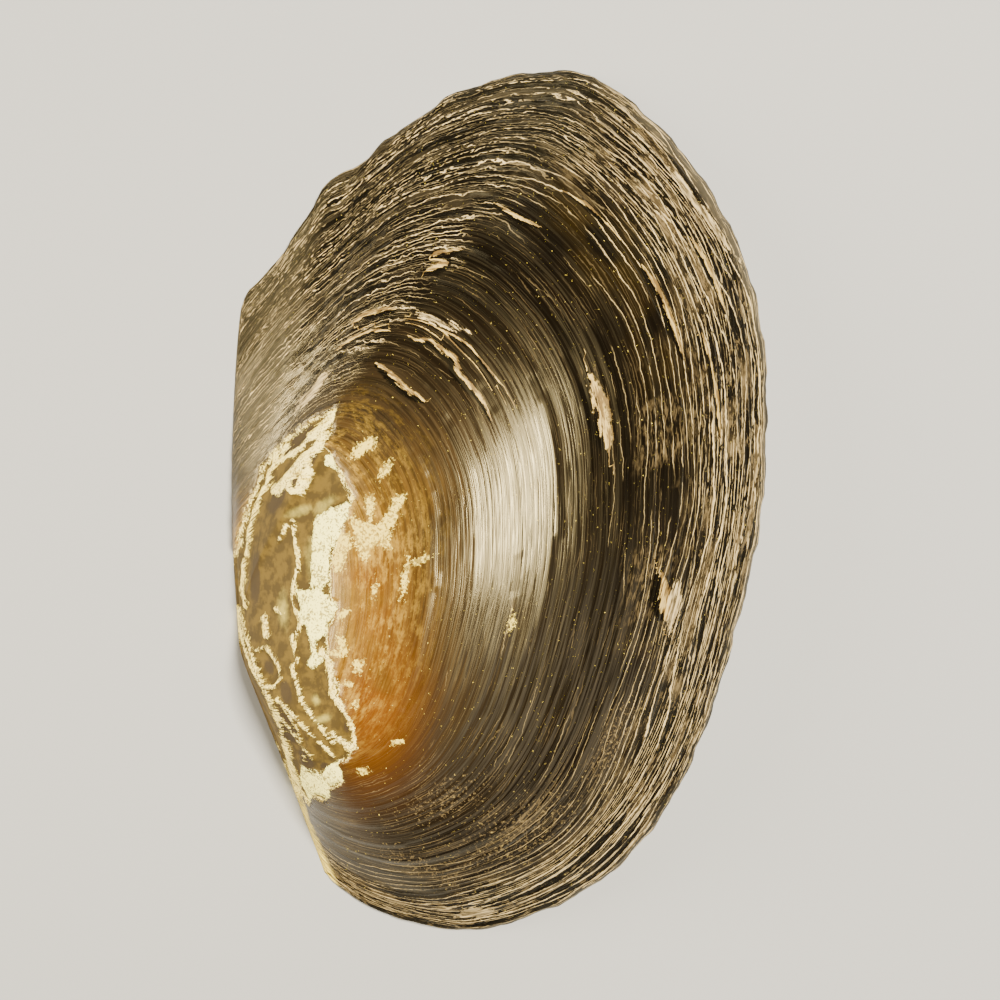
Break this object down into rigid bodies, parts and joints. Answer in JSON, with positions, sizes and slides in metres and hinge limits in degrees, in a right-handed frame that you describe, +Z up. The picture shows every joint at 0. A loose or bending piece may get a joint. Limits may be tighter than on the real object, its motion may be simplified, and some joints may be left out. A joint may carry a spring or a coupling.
{
  "type": "freshwater mussel shell valve",
  "caption": "One half of a large freshwater mussel shell, with worn beak, growth ridges and hollow underside, lying on its rim.",
  "frame": {"origin": "middle of the shell's footprint, on the plane that the rim rests on", "axes": "+X from the hinge to the belly edge, +Y to the shell's hind end, +Z up out of the rounded outside"},
  "size_m": [0.0936, 0.1502, 0.0294],
  "materials": {
    "shell": "satin"
  },
  "bodies": {
    "root": {"left_valve": "shell"}
  },
  "joints": []
}
